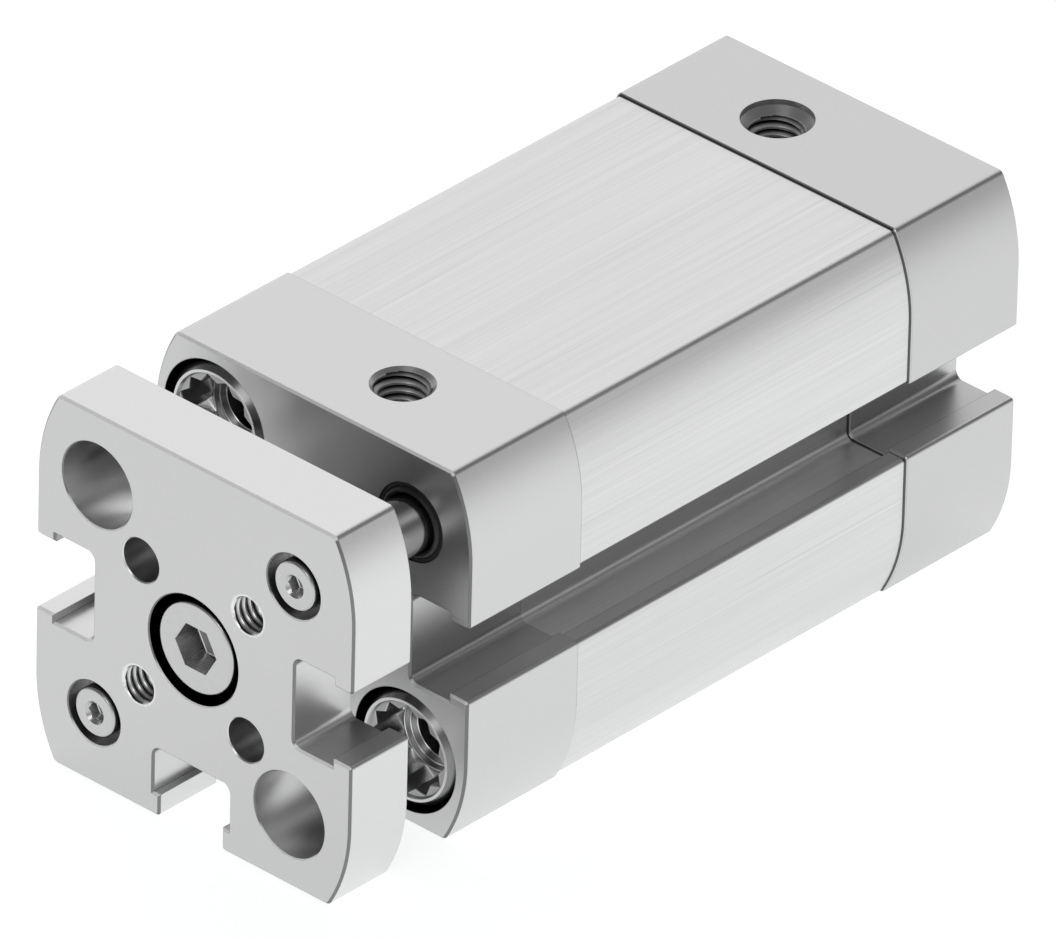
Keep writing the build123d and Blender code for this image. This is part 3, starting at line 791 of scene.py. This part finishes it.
def guide_wiper(name, x, z, material):
    """A guide rod's wiper: a ring with a rounded rim, a groove and a lip that swells out.

    The lip's outline is a sine hump between the groove and the rod.
    """
    low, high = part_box("guide_wipers")
    length = high.y - low.y
    seat_r = high.x - guide_x - hidden_gap
    bore_r = guide_rod_r + wiper_gap
    hump = wiper_groove_l + wiper_lip_l
    lip = [
        (wiper_groove_l - hump * sin(t), bore_r + wiper_lip_w * (1 - t / pi), 0.0)
        for t in np.linspace(0, pi, wiper_lip_points)
    ]
    steps = [
        (length, bore_r, 0.0),
        (length, seat_r, 0.0),
        *quarter_round(seat_r, wiper_rim_round),
        (0.0, seat_r - wiper_rim_w, 0.0),
        *lip,
        (0.5 * length, bore_r, 0.0),
        (length, bore_r, 0.0),
    ]
    patches = placed([rings(steps, round_angles(ring_divisions))], (x, low.y, z), (0, -1, 0))
    return join_patches(name, patches, "housing", material, crease=60.0)


bpy.context.scene.view_settings.view_transform = "Standard"
make_camera()
make_world(studio_stops)
make_floor()
make_panel("left_rear_panel", azimuth=222, elevation=36, distance=2.0, width=3.0, height=2.0, radiance=0.88)
make_panel("front_panel", azimuth=20, elevation=35, distance=2.0, width=0.9, height=0.7, radiance=2.2)

collar_finish = turned("collar_screw_steel", 0.6, 0.24, corner, 0.15)
yoke_screw_finish = turned("yoke_screw_steel", 0.54, 0.26)
guide_screw_finish = turned("guide_screw_steel", 0.54, 0.28, guide_x)
# the plate's thread liners take the painted-shade tone of the plate's front, so their flanges match it
plate_thread_finish = satin("plate_thread_cut", plate_front_shade_tone, 0.3)
# painted highlight: the port threads take a brighter tone than the caps, so their crests read bright
port_thread_finish = satin("port_thread_cut", 0.85, 0.38)
screw_finishes = (collar_finish, yoke_screw_finish, guide_screw_finish)
# painted shade in grooves, gaps and sockets, and painted highlights on crests and edges, from each piece's
# own attribute
for finish in (*screw_finishes, plate_thread_finish, port_thread_finish):
    finish.paint_shade_and_highlights()
rod_finish = ground("rod_ground", 0.44, 0.15)
seal_finish = moulded("seal_rubber_black", (0.01, 0.01, 0.01), 0.5)

finishes = {
    "yoke_plate": plate_satin(),
    "bearing_cap": cap_satin("bearing_cap_satin", cap_y, 1, cap_tone),
    "end_cap": cap_satin("end_cap_satin", rear_y, -1, end_cap_tone),
    "barrel": brushed("barrel_brushed", barrel_tone, 0.36),
    "yoke_screw": yoke_screw_finish,
    "guide_rod_screws": guide_screw_finish,
    "front_collar_screws": collar_finish,
    "rear_collar_screws": collar_finish,
    "piston_rod": rod_finish,
    "upper_guide_rod": rod_finish,
    "lower_guide_rod": rod_finish,
    "piston_nut": turned("nut_steel", 0.5, 0.3, edge=0.05 * mm),
    "rod_bush": sintered("bush_bronze", (0.5, 0.36, 0.2), 0.4),
    "guide_bushes": sintered("guide_bush_bronze", (0.5, 0.36, 0.2), 0.4),
    "bearing_cap_seal": seal_finish,
    "end_cap_seal": seal_finish,
    "rod_seal": seal_finish,
    "guide_wipers": seal_finish,
    "front_piston_seal": seal_finish,
    "rear_piston_seal": seal_finish,
    "front_bumper": moulded("bumper_rubber_grey", (0.03, 0.03, 0.032), 0.55),
    "rear_bumper": moulded("rear_bumper_rubber", (0.03, 0.03, 0.032), 0.55),
    "piston_front": turned("piston_turned", 0.6, 0.3, edge=0.05 * mm),
    "piston_rear": turned("piston_rear_turned", 0.6, 0.3, edge=0.05 * mm),
    "piston_magnet": moulded("magnet_pressed", (0.05, 0.05, 0.055), 0.6, 4000),
    "piston_wear_ring": moulded("wear_ring_smooth", (0.07, 0.065, 0.06), 0.35),
}
for node_name, finish in finishes.items():
    node = frame["nodes"][node_name]
    node.data.materials.clear()
    node.data.materials.append(finish.material)

for side in ("upper", "lower"):
    thread_liner(f"yoke_thread_{side}", mounts[f"yoke_thread_{side}"], "rod",
                 plate_thread_finish.material, opening_r=tapped_mouth_r, cone_l=tapped_cone_l)
for side in ("front", "rear"):
    thread_liner(f"{side}_port_thread", mounts[f"{side}_port"], "housing",
                 port_thread_finish.material)

high_left, low_right = (-corner, axis_z + corner), (corner, axis_z - corner)
high_right, low_left = (corner, axis_z + corner), (-corner, axis_z - corner)
for side, face, sense, places in (
    ("front", cap_y, 1, (high_left, low_right)),
    ("rear", rear_y, -1, (high_left, low_right, high_right, low_left)),
):
    screws = [
        collar_screw(f"{side}_collar_screw_{number}", x, face, z, sense, (number - 1) * screw_turn,
                     collar_finish.material)
        for number, (x, z) in enumerate(places, 1)
    ]
    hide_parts(f"{side}_collar_screws")

dressed = socket_screw("yoke_socket_screw", yoke_screw, 0.0, axis_z, "yoke_screw",
                       yoke_screw_finish.material)
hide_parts("yoke_screw")
for number, (x, z) in enumerate([(guide_x, axis_z + guide_x), (-guide_x, axis_z - guide_x)], 1):
    dressed = socket_screw(f"guide_rod_screw_{number}", guide_screw, x, z, "guide_rod_screws",
                           guide_screw_finish.material)
    wiper = guide_wiper(f"guide_wiper_{number}", x, z, seal_finish.material)
    if number == 1:
        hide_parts("guide_rod_screws")
        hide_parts("guide_wipers")
